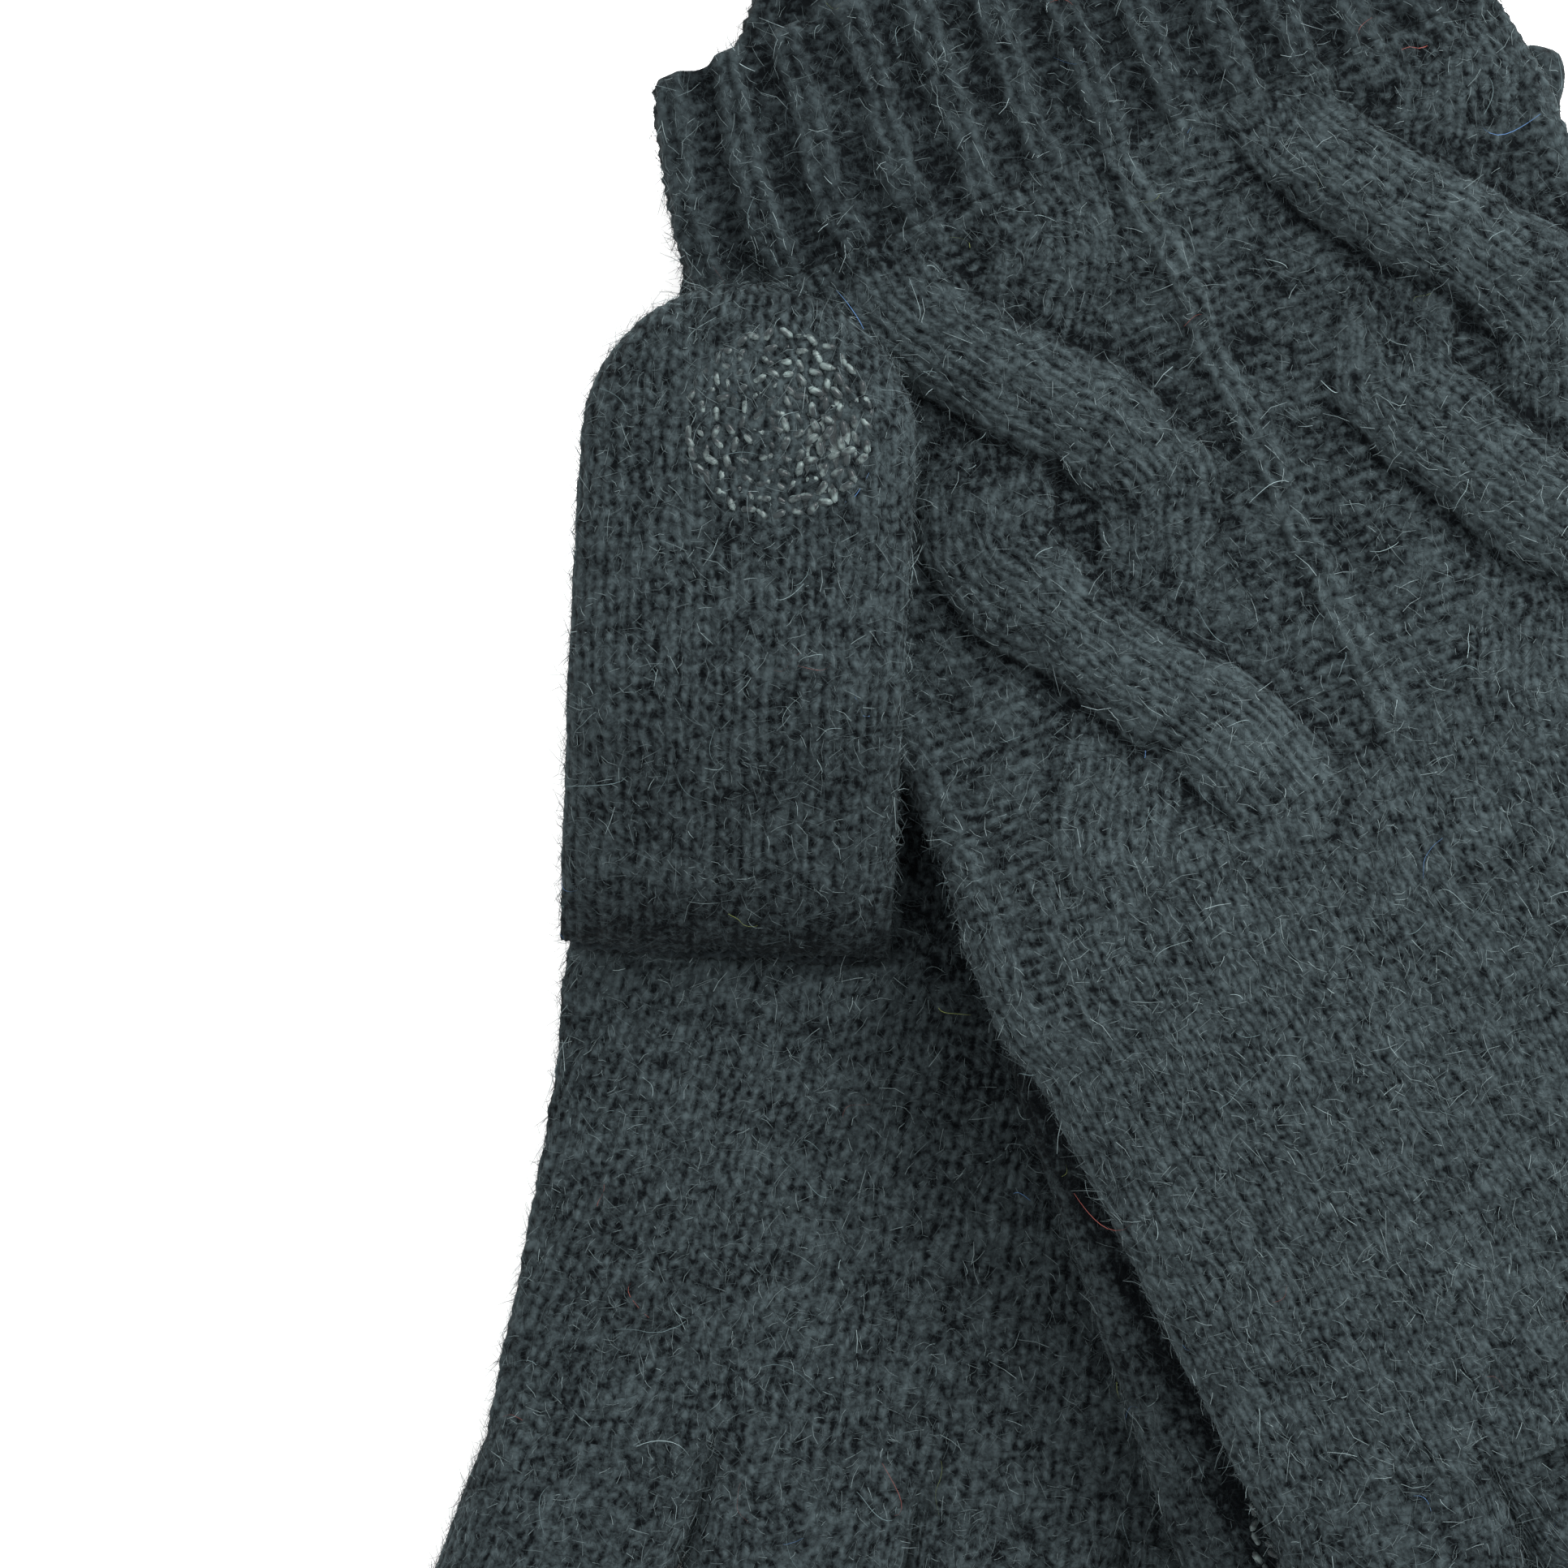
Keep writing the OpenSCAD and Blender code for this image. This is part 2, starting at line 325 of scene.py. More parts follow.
# ---- shapes of the tubes in the glove frame ----
def hand_centre(v, side):
    """Sideways offset, height, half width and half thickness of a hand at v."""
    width = CUFF_END_HALF + (HAND_HALF - CUFF_END_HALF) * smooth(v / 16)
    half = np.full_like(v, HAND_THICK / 2)
    if side == "right":
        return np.zeros_like(v), half, width, half
    across = LEFT_BEND * smooth((v - 88) / (ROOTS_AT - 88))
    height = STACK_Z + HAND_THICK / 2 + HAND_LIFT * smooth((v - 58) / (97 - 58))
    return across, height, width, half


def section(width, thick, top_step, bottom_step):
    """Angles round a flattened tube, and the length along it from the +u edge, in mm."""
    a = np.linspace(0, 2 * np.pi, 4001)
    x = width * curve(np.cos(a))
    y = thick * curve(np.sin(a))
    run = np.concatenate([[0], np.cumsum(np.hypot(np.diff(x), np.diff(y)))])
    half = run[2000]
    top = np.linspace(0, half, max(int(half / top_step), 12), endpoint=False)
    bottom = np.linspace(half, 2 * half, max(int(half / bottom_step), 10), endpoint=False)
    length = np.concatenate([top, bottom])
    return np.interp(length, run, a), length, 2 * half


def surface_normals(grid):
    """Outward unit normals of a (rows, columns, 3) grid that closes round its columns."""
    along = np.gradient(grid, axis=0)
    around = np.roll(grid, -1, axis=1) - np.roll(grid, 1, axis=1)
    normal = np.cross(along, around)
    size = np.linalg.norm(normal, axis=2, keepdims=True)
    return normal / np.maximum(size, 1e-9)


def grid_faces(rows, columns):
    """Outward quads of a grid whose vertices run row by row and close round."""
    r = np.arange(rows - 1)[:, None] * columns
    c = np.arange(columns)[None, :]
    d = (c + 1) % columns
    return np.stack([r + c, r + columns + c, r + columns + d, r + d], axis=-1).reshape(-1, 4)


def blurred(field, reach):
    """A grid field averaged twice over boxes of reach cells each way."""
    for axis in (0, 1, 0, 1):
        edges = [(0, 0), (0, 0)]
        edges[axis] = (reach + 1, reach)
        total = np.cumsum(np.pad(field, edges, mode="edge"), axis=axis)
        span = 2 * reach + 1
        count = total.shape[axis]
        high = np.take(total, range(span, count), axis=axis)
        low = np.take(total, range(count - span), axis=axis)
        field = (high - low) / span
    return field


def painted_pit_shade(high, step):
    """Painted shade: 0 in the pits of a relief and 1 on its crests, both for stitches and for wider folds.
    """
    wide = high - blurred(high, max(int(3.2 / step), 1))
    near = high - blurred(high, max(int(0.9 / step), 1))
    return np.clip(0.5 + 0.2 * wide + 0.85 * near, 0, 1)


# ---- meshes ----
def make_mesh(name, points, faces, knit, materials, face_material=None, depth=None):
    """A mesh object from arrays. knit is a (wale, course) pair per vertex, kept as a UV map,
    and depth, 0 to 1, the painted shade (0 darkest), is kept as a second one."""
    mesh = bpy.data.meshes.new(name)
    mesh.vertices.add(len(points))
    mesh.vertices.foreach_set("co", np.asarray(points, np.float32).ravel())
    sides = faces.shape[1]
    mesh.loops.add(len(faces) * sides)
    mesh.loops.foreach_set("vertex_index", faces.astype(np.int32).ravel())
    mesh.polygons.add(len(faces))
    mesh.polygons.foreach_set("loop_start", np.arange(0, len(faces) * sides, sides, dtype=np.int32))
    mesh.update(calc_edges=True)
    layer = mesh.uv_layers.new(name="knit")
    layer.data.foreach_set("uv", np.asarray(knit, np.float32)[faces.ravel()].ravel())
    if depth is not None:
        pair = np.stack([depth, depth], axis=1).astype(np.float32)
        mesh.uv_layers.new(name="depth").data.foreach_set("uv", pair[faces.ravel()].ravel())
    for material in materials:
        mesh.materials.append(material)
    if face_material is not None:
        mesh.polygons.foreach_set("material_index", face_material.astype(np.int32))
    mesh.polygons.foreach_set("use_smooth", np.full(len(faces), True))
    mesh.validate()
    made = bpy.data.objects.new(name, mesh)
    bpy.context.scene.collection.objects.link(made)
    return made


def ribbons(starts, normals, grain, length, width, rng, bends=2, lift=0.3, curl=1.0):
    """Fine curved fibres as flat strips. Returns points (mm) and quads, strip by strip."""
    n = len(starts)
    helper = rng.normal(size=(n, 3)) + grain * rng.choice((-1.0, 1.0), (n, 1))
    flat = helper - normals * np.sum(helper * normals, axis=1, keepdims=True)
    flat /= np.maximum(np.linalg.norm(flat, axis=1, keepdims=True), 1e-9)
    rise = np.abs(rng.normal(lift, 0.3, (n, 1)))
    heading = flat + normals * rise
    heading /= np.linalg.norm(heading, axis=1, keepdims=True)
    spin = np.cross(heading, normals)
    spin /= np.maximum(np.linalg.norm(spin, axis=1, keepdims=True), 1e-9)
    bend = rng.normal(0, curl, (n, 1))
    spine = [starts]
    step = length[:, None] / bends
    for _ in range(bends):
        spine.append(spine[-1] + heading * step)
        heading = heading + spin * bend * 0.5 - normals * 0.25 * rise
        heading /= np.linalg.norm(heading, axis=1, keepdims=True)
        bend = bend + rng.normal(0, curl * 0.5, (n, 1))
    spine = np.stack(spine, axis=1)
    side = rng.normal(size=(n, 3))
    side -= heading * np.sum(side * heading, axis=1, keepdims=True)
    side /= np.maximum(np.linalg.norm(side, axis=1, keepdims=True), 1e-9)
    taper = np.linspace(1, 0.35, bends + 1)[None, :, None]
    offset = side[:, None, :] * taper * width[:, None, None] / 2
    points = np.stack([spine - offset, spine + offset], axis=2).reshape(-1, 3)
    base = (np.arange(n) * (bends + 1) * 2)[:, None, None]
    k = (np.arange(bends) * 2)[None, :, None]
    quad = np.array([0, 1, 3, 2])[None, None, :]
    return points, (base + k + quad).reshape(-1, 4), (bends + 1) * 2


def along_wales(grid, wale):
    """The direction of the stitch columns at every vertex of a grid."""
    along = np.gradient(grid, axis=0)
    around = (np.roll(grid, -1, axis=1) - np.roll(grid, 1, axis=1)) / 2
    down = np.gradient(wale, axis=0)
    across = (np.roll(wale, -1, axis=1) - np.roll(wale, 1, axis=1)) / 2
    way = along * across[..., None] - around * down[..., None]
    return way / np.maximum(np.linalg.norm(way, axis=2, keepdims=True), 1e-9)


def sample_grid(grid, density, rng):
    """Random points on a grid and their cells. density is points per square mm."""
    columns = grid.shape[1]
    beside = np.roll(grid, -1, axis=1)
    area = np.linalg.norm(np.cross(grid[1:] - grid[:-1], beside[:-1] - grid[:-1]), axis=2)
    share = np.cumsum((area * density[:-1]).ravel())
    count = int(share[-1])
    pick = np.searchsorted(share, rng.uniform(0, share[-1], count))
    i, j = np.divmod(np.minimum(pick, area.size - 1), columns)
    j2 = (j + 1) % columns
    a = rng.uniform(0, 1, (count, 1))
    b = rng.uniform(0, 1, (count, 1))
    low = grid[i, j] * (1 - a) + grid[i, j2] * a
    high = grid[i + 1, j] * (1 - a) + grid[i + 1, j2] * a
    return low * (1 - b) + high * b, i, j


# ---- materials ----
FELT_SCALE = 1150  # fine felt of hairs
CLOUD_SCALE = 260  # paler and darker patches of yarn
GLINT_SCALE = 850  # painted glints: bright specks of the conductive yarn
PIT_SHADE_TONE = 0.75  # how much the painted shade of pits and paler crests counts in a wool's colour
# the gaps between stitch legs are painted darker as shade
STITCH_TONE = 0.12
FELT_TONE = 2.15
CLOUD_TONE = 0.8
TONE_OFFSET = 1.48  # taken off, so that the shade is centred between dark and light


def node(tree, kind, **values):
    """A new shader node with some of its settings."""
    made = tree.nodes.new(kind)
    for key, value in values.items():
        setattr(made, key, value)
    return made


def math_node(tree, operation, first, second=None):
    """A Math node. Numbers are set on its sockets and sockets are linked."""
    made = node(tree, "ShaderNodeMath", operation=operation)
    for k, value in enumerate((first, second)):
        if value is None:
            continue
        if isinstance(value, (int, float)):
            made.inputs[k].default_value = value
        else:
            tree.links.new(value, made.inputs[k])
    return made.outputs[0]


def new_material(name, rough, sheen):
    """A matt material, its node tree and its shader."""
    material = bpy.data.materials.new(name)
    material.use_nodes = True
    tree = material.node_tree
    shader = tree.nodes["Principled BSDF"]
    shader.inputs["Roughness"].default_value = rough
    shader.inputs["Sheen Weight"].default_value = sheen
    shader.inputs["Sheen Roughness"].default_value = 0.6
    shader.inputs["Sheen Tint"].default_value = (0.75, 0.92, 0.95, 1)
    shader.inputs["Specular IOR Level"].default_value = 0.04
    return material, tree, shader


def stitch_pattern(tree, knit):
    """The V stitches as a 0 to 1 socket, from the (wale, course) UV map."""
    split = node(tree, "ShaderNodeSeparateXYZ")
    tree.links.new(knit, split.inputs[0])
    part = math_node(tree, "FRACT", split.outputs[0])
    leg = math_node(tree, "ABSOLUTE", math_node(tree, "SUBTRACT", part, 0.5))
    ridge = math_node(tree, "SINE", math_node(tree, "MULTIPLY", leg, 2 * math.pi))
    lean = math_node(tree, "SUBTRACT", split.outputs[1], math_node(tree, "MULTIPLY", leg, 1.7))
    along = math_node(tree, "COSINE", math_node(tree, "MULTIPLY", lean, math.pi))
    along = math_node(tree, "MULTIPLY", math_node(tree, "ABSOLUTE", along), 0.6)
    return math_node(tree, "MULTIPLY", ridge, math_node(tree, "ADD", along, 0.4))


def wool_material(name, dark, light, bump=0.5, sheen=0.015):
    """Brushed wool: pits painted dark as shade, crests painted paler, soft V stitches and a fine felt of
    fibres.
    """
    material, tree, shader = new_material(name, 0.95, sheen)
    place = node(tree, "ShaderNodeTexCoord").outputs["Object"]
    uv = node(tree, "ShaderNodeUVMap", uv_map="knit")
    # the painted shade, 0 to 1, read from the depth UV map
    depth = node(tree, "ShaderNodeSeparateXYZ")
    tree.links.new(node(tree, "ShaderNodeUVMap", uv_map="depth").outputs["UV"], depth.inputs[0])
    felt = node(tree, "ShaderNodeTexNoise")
    felt.inputs["Scale"].default_value = FELT_SCALE
    felt.inputs["Detail"].default_value = 4
    felt.inputs["Roughness"].default_value = 0.6
    tree.links.new(place, felt.inputs["Vector"])
    cloud = node(tree, "ShaderNodeTexNoise")
    cloud.inputs["Scale"].default_value = CLOUD_SCALE
    cloud.inputs["Detail"].default_value = 3
    tree.links.new(place, cloud.inputs["Vector"])
    stitch = stitch_pattern(tree, uv.outputs["UV"])
    tone = math_node(tree, "MULTIPLY", depth.outputs[0], PIT_SHADE_TONE)
    tone = math_node(tree, "ADD", tone, math_node(tree, "MULTIPLY", stitch, STITCH_TONE))
    tone = math_node(tree, "ADD", tone, math_node(tree, "MULTIPLY", felt.outputs[0], FELT_TONE))
    tone = math_node(tree, "ADD", tone, math_node(tree, "MULTIPLY", cloud.outputs[0], CLOUD_TONE))
    tone = math_node(tree, "SUBTRACT", tone, TONE_OFFSET)
    ramp = node(tree, "ShaderNodeValToRGB")
    ramp.color_ramp.elements[0].position = 0.1
    ramp.color_ramp.elements[0].color = (*dark, 1)
    ramp.color_ramp.elements[1].position = 0.9
    ramp.color_ramp.elements[1].color = (*light, 1)
    tree.links.new(tone, ramp.inputs[0])
    tree.links.new(ramp.outputs[0], shader.inputs["Base Color"])
    height = math_node(tree, "ADD", math_node(tree, "MULTIPLY", stitch, 0.5), felt.outputs[0])
    relief = node(tree, "ShaderNodeBump")
    relief.inputs["Strength"].default_value = bump
    relief.inputs["Distance"].default_value = 0.0004
    tree.links.new(height, relief.inputs["Height"])
    tree.links.new(relief.outputs[0], shader.inputs["Normal"])
    return material


def fibre_material(name, stops, sheen=0.0):
    """Loose fibres: each one's shade comes from its own random number in the UV map."""
    material, tree, shader = new_material(name, 0.7, sheen)
    uv = node(tree, "ShaderNodeUVMap", uv_map="knit")
    split = node(tree, "ShaderNodeSeparateXYZ")
    tree.links.new(uv.outputs["UV"], split.inputs[0])
    ramp = node(tree, "ShaderNodeValToRGB")
    ramp.color_ramp.interpolation = "CONSTANT" if len(stops) > 3 else "LINEAR"
    while len(ramp.color_ramp.elements) < len(stops):
        ramp.color_ramp.elements.new(0.5)
    for element, (place, colour) in zip(ramp.color_ramp.elements, stops):
        element.position = place
        element.color = (*colour, 1)
    tree.links.new(split.outputs[0], ramp.inputs[0])
    tree.links.new(ramp.outputs[0], shader.inputs["Base Color"])
    return material


def shiny_material(name):
    """Conductive yarn: dark grey twisted yarn with small bright glints painted into its colour."""
    material, tree, shader = new_material(name, 0.38, 0.1)
    place = node(tree, "ShaderNodeTexCoord").outputs["Object"]
    glint = node(tree, "ShaderNodeTexNoise")
    glint.inputs["Scale"].default_value = GLINT_SCALE
    glint.inputs["Detail"].default_value = 2
    tree.links.new(place, glint.inputs["Vector"])
    # painted glints: noise makes some specks of the base colour bright
    ramp = node(tree, "ShaderNodeValToRGB")
    ramp.color_ramp.elements[0].position = 0.47
    ramp.color_ramp.elements[0].color = (0.005, 0.0075, 0.0085, 1)
    ramp.color_ramp.elements[1].position = 0.68
    ramp.color_ramp.elements[1].color = (0.07, 0.092, 0.09, 1)
    tree.links.new(glint.outputs[0], ramp.inputs[0])
    tree.links.new(ramp.outputs[0], shader.inputs["Base Color"])
    shader.inputs["Specular IOR Level"].default_value = 0.15
    return material


# darkest wool: dark felt, and the painted shade of pits
WOOL_FELT_AND_PIT_SHADE = (0.0005, 0.0009, 0.0013)
WOOL = wool_material("wool", WOOL_FELT_AND_PIT_SHADE, (0.024, 0.0325, 0.035))
RIB_WOOL = wool_material("rib_wool", WOOL_FELT_AND_PIT_SHADE, (0.0165, 0.0225, 0.0245))
SEAM_WOOL = wool_material("seam_wool", (0.0005, 0.0008, 0.001), (0.011, 0.015, 0.017))
FUZZ_SHADES = ((0.0, (0.001, 0.0015, 0.002)), (0.4, (0.0145, 0.02, 0.022)), (1.0, (0.15, 0.19, 0.195)))
STRAY_SHADES = (
    (0.0, (0.13, 0.17, 0.175)),
    (0.4, (0.06, 0.085, 0.09)),
    (0.84, (0.12, 0.035, 0.03)),
    (0.9, (0.12, 0.145, 0.045)),
    (0.94, (0.04, 0.085, 0.17)),
)
FUZZ = fibre_material("wool_fuzz", FUZZ_SHADES)
STRAY = fibre_material("stray_fibres", STRAY_SHADES)
SILVER = shiny_material("conductive_yarn")


# ---- pieces ----
def settle(piece, body, blend=None):
    """Attaches a piece to its body; a piece given a blend only has its placement baked into its mesh."""
    if blend is None:
        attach(piece, body)
    else:
        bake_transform(piece)
    return piece


def seed_of(name):
    """A steady number from a name, so that every piece has its own randomness."""
    return sum((k + 1) * ord(letter) for k, letter in enumerate(name))


def near_middle(table_points):
    """1 over the middle of the pair, where the work is finest, and less further out."""
    away = np.abs(table_points[..., :2] * 1000 - PAIR_SHIFT[:2]).max(axis=-1)
    return 1 - (1 - OUTER_SHARE) * smooth((away - FINE_REACH) / 12)


def fuzz_piece(name, points, normals, grain, depth, density, body, blend=None):
    """Short felted fuzz and a few long curly fibres over one grid. Points are in metres."""
    rng = np.random.default_rng(seed_of(name))
    grid = points * 1000
    starts, i, j = sample_grid(grid, density, rng)
    count = len(starts)
    up = normals[i, j]
    length = np.clip(rng.lognormal(0.25, 0.45, count), *FUZZ_LEN)
    width = rng.uniform(*FUZZ_WIDTH, count)
    short = ribbons(starts - up * 0.05, up, grain[i, j], length, width, rng)
    # each fibre's own random tone, darkened by the painted shade of pits, creases and shadows where it
    # starts
    own_shade = rng.beta(1.5, 2.0, count) * (0.3 + 0.9 * depth[i, j])
    starts, i, j = sample_grid(grid, density / STRAY_EVERY, rng)
    strays = len(starts)
    up = normals[i, j]
    length = np.clip(rng.lognormal(1.1, 0.4, strays), *STRAY_LEN)
    width = rng.uniform(*STRAY_WIDTH, strays)
    long = ribbons(starts + up * 0.1, up, 0 * up, length, width, rng, bends=9, lift=0.2, curl=0.8)
    mesh_points = np.concatenate([short[0], long[0]])
    mesh_points[:, 2] = np.maximum(mesh_points[:, 2], 0.05)
    faces = np.concatenate([short[1], long[1] + len(short[0])])
    shade = np.concatenate([
        np.repeat(np.clip(own_shade, 0, 0.999), short[2]),
        np.repeat(rng.uniform(0, 1, strays), long[2]),
    ])
    knit = np.stack([shade, np.zeros_like(shade)], axis=1)
    which = np.concatenate([np.zeros(len(short[1])), np.ones(len(long[1]))])
    made = make_mesh(name, mesh_points / 1000, faces, knit, [FUZZ, STRAY], which)
    return settle(made, body, blend)


def root_notches(u, v):
    """Depth, 0 to 1, of the grooves on a hand where two fingers meet."""
    near = smooth((v - (ROOTS_AT - 7)) / 7)
    depth = np.zeros_like(u)
    for first in FINGERS[:-1]:
        place = ACROSS[first] - FINGER_WIDTH[first] / 2 - FINGER_GAP / 2
        depth = np.maximum(depth, np.exp(-(((u - place) / (0.8 + 1.0 * near)) ** 2)))
    return depth * near


def beside_left_hand(table_points):
    """How far points lie outside the thumb-side edge of the left glove, in mm."""
    origin, rotation = LAY["left"]
    local = (table_points * 1000 - origin) @ rotation
    across, _, width, _ = hand_centre(local[..., 1], "left")
    edge = across + width + edge_shift(local[..., 1], "left")[0]
    return local[..., 0] - edge


def thumb_frame(side):
    """Origin of a thumb in its glove's frame, and the matrix that turns or leans it."""
    way = turn(THUMB_TURN) if side == "right" else lean(THUMB_SPLAY)
    return np.array([THUMB_U[side], THUMB_START[side], 0.0]), way


def under_thumb(table_points):
    """1 well inside the outline of the turned-back right thumb, 0 outside it."""
    origin, rotation = LAY["right"]
    start, own = thumb_frame("right")
    local = (table_points * 1000 - origin) @ rotation
    local = (local - start) @ own
    half = THUMB_WIDTH / 2
    past = np.maximum(local[..., 1] - (THUMB_LEN - half), 0)
    inside = half - np.hypot(local[..., 0], past)
    return smooth(inside / 5) * smooth(local[..., 1] / 4)


def palm_relief(u, v):
    """The right palm: ribbed edge, then plain columns that spread towards the fingers."""
    high, wale, course = rib_relief(u, v)
    spread = SPREAD * np.clip(v - 70, 0, None)
    wale = np.where(v > RIB_LEN, (u + 6) * np.exp(-spread) / WALE, wale)
    course = course + 0.02 * u
    stitches = plain_stitches(wale, course)
    plain = smooth((v - RIB_LEN - 1) / 4)
    high = high * (1 - plain) + (0.6 + STITCH_DEPTH * stitches) * plain
    past_side = np.abs(u - THUMB_U["right"]) - THUMB_WIDTH / 2
    slant = math.tan(math.radians(THUMB_TURN - 180))
    past_base = v - THUMB_START["right"] - (u - THUMB_U["right"]) * slant
    lip = bell(past_base / 7) * (1 - smooth((past_side + 2) / 4))
    groove = bell((past_base + 2.6) / 4) * (1 - smooth((past_side + 1) / 3))
    return high + 0.7 * lip - 1.4 * groove, wale, course


def hidden_relief(u, v):
    """The undersides: ribs, then plain columns, all pressed flat."""
    high, wale, course = rib_relief(u, v)
    return high * 0.6 - 1.2, wale, course


TOP_RELIEF = {"right": palm_relief, "left": cuff_relief}


def edge_shift(v, side):
    """How far the thumb-side edge and the other edge lie outside the plain outline."""
    near_end = 1 - smooth(v / 2.5)
    if side == "right":
        thumb_edge = -0.9 * smooth((v - 88) / 10) - 1.1 * bell((v - 100) / 50)
        return thumb_edge - near_end, -near_end
    near_cuff = 1 - smooth((v - 18) / 16)
    thumb_edge = 1.3 * near_cuff - 1.5 * smooth((v - 93) / 7) - near_end
    return thumb_edge, -1.4 * near_cuff - near_end


def hand_surface(side, v, angles, length, whole, inset=0.0):
    """Points of a cuff or hand at rows v, with its pattern coordinate and how far it faces up."""
    v = v[:, None] + np.zeros((1, len(angles)))
    across, height, width, half = hand_centre(v, side)
    local = (width - inset) * curve(np.cos(angles))[None, :]
    thumb_edge, far_edge = edge_shift(v, side)
    share = (local / HAND_HALF) ** 2
    local = local + np.where(local > 0, thumb_edge, -far_edge) * share
    face = curve(np.sin(angles))[None, :] + np.zeros_like(v)
    run = whole / 2
    pattern = np.where(length < run, run / 2 - length, length - 1.5 * run)[None, :] + np.zeros_like(v)
    pinch = 1 - NOTCH_DEPTH[side] * root_notches(local, v)
    rise = (half - inset) * face * pinch
    return np.stack([local + across, v, height + rise], axis=-1), pattern, face


def hand_relief(side, pattern, long_v, face, table, v1):
    """Height, wale and course over a length of cuff or hand that ends at v1."""
    bent_u = pattern + slack(pattern, long_v, HAND_BEND_U)
    bent_v = long_v + slack(pattern, long_v, HAND_BEND_V)
    high_top, wale_top, course_top = TOP_RELIEF[side](bent_u, bent_v)
    if side == "left":
        high_top = high_top * (1 - THUMB_PRESS * under_thumb(table))
    high_low, wale_low, course_low = hidden_relief(pattern, long_v)
    up = smooth((face + 0.45) / 0.7)
    high = (high_top - 0.4) * up + high_low * (1 - up)
    if v1 == ROOTS_AT:
        high = high - ROOT_DIP * smooth((long_v - v1 + 2.5) / 2.5)
    wale = np.where(face > -0.1, wale_top, wale_low)
    course = np.where(face > -0.1, course_top, course_low)
    return high, wale, course, up


def hand_shade(side, table, long_v, depth):
    """Paints a shadow on the palm beside the left glove, and makes the left hand paler than its cuff."""
    if side == "left":
        return np.clip(depth * (CUFF_TONE + HAND_PALER * smooth((long_v - 50) / 50)), 0, 1)
    # painted shadow of the left glove's edge on the right palm
    beside = beside_left_hand(table)
    shade = (1 - smooth(beside / PALM_SHADE)) * smooth((beside + 16) / 8)
    return depth * (1 - PALM_DARK * shade * (1 - smooth((long_v - 114) / 22)))


def hand_piece(name, side, v0, v1, step, material, density, open_end=False):
    """A length of cuff or hand: a double-walled knitted tube."""
    angles, length, whole = section(HAND_HALF, HAND_THICK / 2, step, COARSE)
    v = np.linspace(v0, v1, int((v1 - v0) / step))
    grid, pattern, face = hand_surface(side, v, angles, length, whole)
    long_v = grid[..., 1]
    edge_wave = 0.35 * soft_noise(pattern / 14 + 3, long_v / 16 + 7, 5)
    grid[..., 2] += edge_wave * face
    normals = surface_normals(grid)
    high, wale, course, up = hand_relief(side, pattern, long_v, face, to_table(grid, side), v1)
    rough = slack(pattern, long_v, HAND_ROUGH) + slack(pattern, long_v, HAND_SWELL) * up
    ends = smooth((long_v - v0) / 0.8 + (0 if open_end else 1))
    if open_end:
        grid[..., 1] -= 0.7 * rib_share(pattern) * (1 - smooth(long_v / 4))
    outer = grid + normals * (high * ends + rough)[..., None]
    table = to_table(outer, side)
    # painted shade of pits and crests, and the painted shadow beside the left glove
    depth = hand_shade(side, table, long_v, painted_pit_shade(high, step))
    lining_v = np.linspace(v1, v0, max(int((v1 - v0) / 3), 4))
    lining, _, _ = hand_surface(side, lining_v, angles, length, whole, WALL)
    last = lining[:1]
    points = np.concatenate([lining, outer, last])
    knit = np.concatenate([
        np.stack([np.repeat(pattern[:1] / WALE, len(lining), axis=0), lining[..., 1] / COURSE], -1),
        np.stack([wale, course], -1),
        np.stack([pattern[:1] / WALE, last[..., 1] / COURSE], -1),
    ])
    faces = grid_faces(len(points), len(angles))
    # the lining is painted dark as shade
    dark = LINING_SHADE + 0 * lining[..., 0]
    all_depth = np.concatenate([dark, depth, dark[:1]]).ravel()
    table_points = to_table(points, side).reshape(-1, 3)
    made = make_mesh(name, table_points, faces, knit.reshape(-1, 2), [material], depth=all_depth)
    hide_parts(name.replace("_knit", ""))
    body = side + "_glove"
    settle(made, body)
    thin = density * near_middle(table) * np.where(face > -0.4, 1.0, 0.15)
    grain = along_wales(outer, wale)
    fuzz_name = name.replace("_knit", "_fuzz")
    fuzz_piece(fuzz_name, table, turned(normals, side), turned(grain, side), depth, thin, body)


def turned(normals, side):
    """Glove-frame directions turned as the glove lies on the table."""
    return normals @ LAY[side][1].T


def root_squareness(name, angles):
    """How squared-off a digit is round its root: only where it meets another finger."""
    side, digit = name.split("_")
    outer = {"index": 1, "little": -1}.get(digit, 0)
    alone = (np.cos(angles) * outer > 0) | (digit == "thumb")
    return np.where(alone, SQUARENESS, ROOT_SQUARE[side])[None, :]


def digit_surface(width, thick, long, step, height_at, angles, start, root_square):
    """A finger or thumb with a round tip, in its own frame. height_at gives its mid height.
    root_square is how squared-off its section is where it leaves the hand."""
    half = width / 2
    straight = np.arange(start, long - half, step)
    bend = np.linspace(0, np.pi / 2, int(np.pi / 2 * half / step))
    y = np.concatenate([straight, long - half + half * np.sin(bend)])
    share = np.concatenate([np.ones_like(straight), np.maximum(np.cos(bend), 0.004)])
    near_root = (1 - smooth(y / ROOT_LEN))[:, None]
    square = SQUARENESS + (root_square - SQUARENESS) * near_root
    wide = half + 0.4 * near_root * (root_square > SQUARENESS)
    x = share[:, None] * wide * curve(np.cos(angles)[None, :], square)
    z = share[:, None] ** 0.8 * thick / 2 * curve(np.sin(angles)[None, :], square)
    z = z + height_at(y)[:, None]
    y = y[:, None] + np.zeros_like(x)
    return np.stack([x, y, z], axis=-1), share


def slope_down(high, low, long, level):
    """Mid height of a finger that stays level for a share of its length, then slopes down."""
    return lambda y: high + (low - high) * np.clip(y / long - level, 0, None) / (1 - level)


